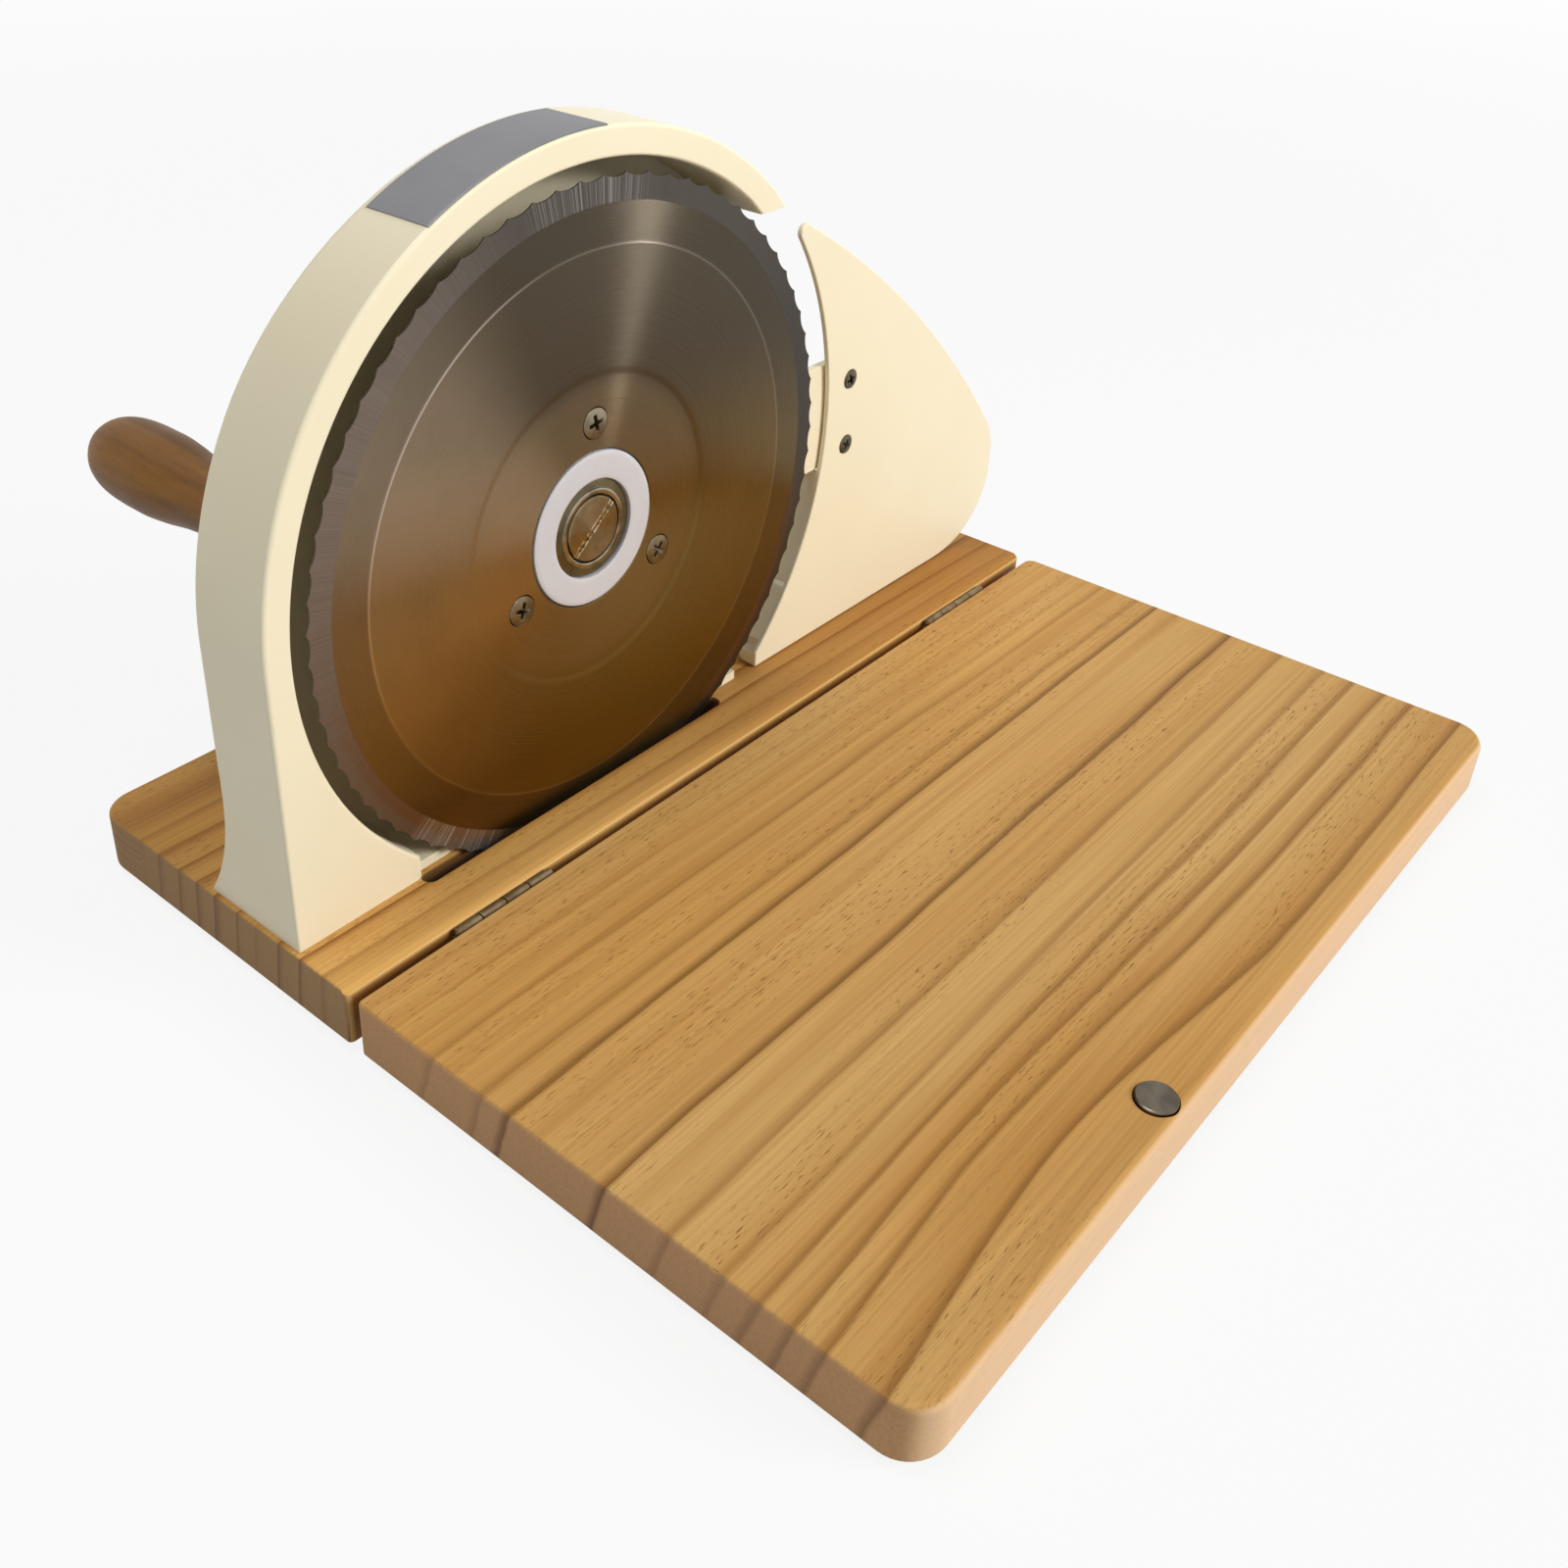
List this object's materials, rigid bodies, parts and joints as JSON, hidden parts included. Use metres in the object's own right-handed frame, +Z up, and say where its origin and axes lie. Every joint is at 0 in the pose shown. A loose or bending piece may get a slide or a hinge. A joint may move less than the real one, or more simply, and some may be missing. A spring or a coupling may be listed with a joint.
{
  "type": "manual bread slicer",
  "caption": "Hand-cranked bread slicer with a serrated disc blade in an arched cream guard, a wooden base, a folding feed board and a sliding thickness plate.",
  "frame": {"origin": "centre of the box around the slicer at rest, on the floor under its feet", "axes": "+X along the hinge line towards the thickness plate, +Y from the feed board to the crank grip, +Z up"},
  "size_m": [0.3194, 0.3096, 0.2078],
  "materials": {
    "cream_enamel": "satin cream enamel",
    "pine_wood": "oiled pine, edge-glued strips",
    "dark_wood": "varnished dark beech",
    "blade_steel": "turned steel with a ground bevel",
    "plated_steel": "plated steel",
    "magnet_nickel": "nickel-plated disc",
    "white_nylon": "white nylon",
    "grey_foil": "bare grey foil",
    "black_rubber": "matt rubber",
    "bronze": "plain bearing bronze",
    "black_plastic": "moulded plastic"
  },
  "bodies": {
    "frame": {"base_board": "pine_wood", "foot_base_front_left": "black_rubber", "foot_base_front_right": "black_rubber", "foot_base_back_left": "black_rubber", "foot_base_back_right": "black_rubber", "hinge_leaf_base_left": "plated_steel", "hinge_leaf_base_right": "plated_steel", "hinge_pin_left": "plated_steel", "hinge_pin_right": "plated_steel", "hinge_screw_base_left_1": "plated_steel", "hinge_screw_base_left_2": "plated_steel", "hinge_screw_base_right_1": "plated_steel", "hinge_screw_base_right_2": "plated_steel", "guard": "cream_enamel", "guard_screw_1": "plated_steel", "guard_screw_2": "plated_steel", "guard_screw_3": "plated_steel", "rim_plate": "grey_foil", "axle": "plated_steel", "axle_washer": "plated_steel", "axle_screw": "plated_steel", "axle_nut": "plated_steel", "crank_bush": "bronze", "pedestal": "cream_enamel", "pedestal_screw_1": "plated_steel", "pedestal_screw_2": "plated_steel"},
    "feed": {"feed_board": "pine_wood", "magnet": "magnet_nickel", "foot_feed_left": "black_rubber", "foot_feed_right": "black_rubber", "hinge_leaf_feed_left": "plated_steel", "hinge_leaf_feed_right": "plated_steel", "hinge_screw_feed_left_1": "plated_steel", "hinge_screw_feed_left_2": "plated_steel", "hinge_screw_feed_right_1": "plated_steel", "hinge_screw_feed_right_2": "plated_steel"},
    "blade": {"blade": "blade_steel", "blade_screw_1": "plated_steel", "blade_screw_2": "plated_steel", "blade_screw_3": "plated_steel", "gear": "white_nylon"},
    "crank": {"pinion": "white_nylon", "crank_shaft": "plated_steel", "crank_arm": "plated_steel", "crank_nut": "plated_steel", "grip_pin": "plated_steel"},
    "grip": {"grip": "dark_wood"},
    "fence": {"fence_plate": "cream_enamel", "fence_screw_upper": "plated_steel", "fence_screw_lower": "plated_steel", "carriage": "cream_enamel"},
    "knob": {"clamp_knob": "black_plastic", "clamp_stud": "plated_steel"}
  },
  "joints": [
    {"name": "feed_board_fold", "type": "hinge", "parent": "frame", "child": "feed", "pos_m": [-0.0037, 0.0132, 0.0189], "axis": [-1, 0, 0], "range_deg": [0, 95.5]},
    {"name": "blade_spin", "type": "hinge", "parent": "frame", "child": "blade", "pos_m": [-0.0517, 0.0412, 0.1005], "axis": [0, 1, 0], "continuous": true},
    {"name": "crank_spin", "type": "hinge", "parent": "frame", "child": "crank", "pos_m": [-0.0517, 0.0612, 0.15675], "axis": [0, 1, 0], "continuous": true},
    {"name": "grip_spin", "type": "hinge", "parent": "crank", "child": "grip", "pos_m": [-0.12183, 0.1, 0.10998], "axis": [0, 1, 0], "continuous": true},
    {"name": "fence_slide", "type": "slide", "parent": "frame", "child": "fence", "axis": [0, 1, 0], "range_m": [0, 0.016]},
    {"name": "clamp_knob_turn", "type": "hinge", "parent": "frame", "child": "knob", "pos_m": [0.0807, 0.0911, 0.08975], "axis": [1, 0, 0], "range_deg": [0, 120]}
  ],
  "couplings": [
    {"joint": "crank_spin", "follows": "blade_spin", "ratio": -2}
  ]
}
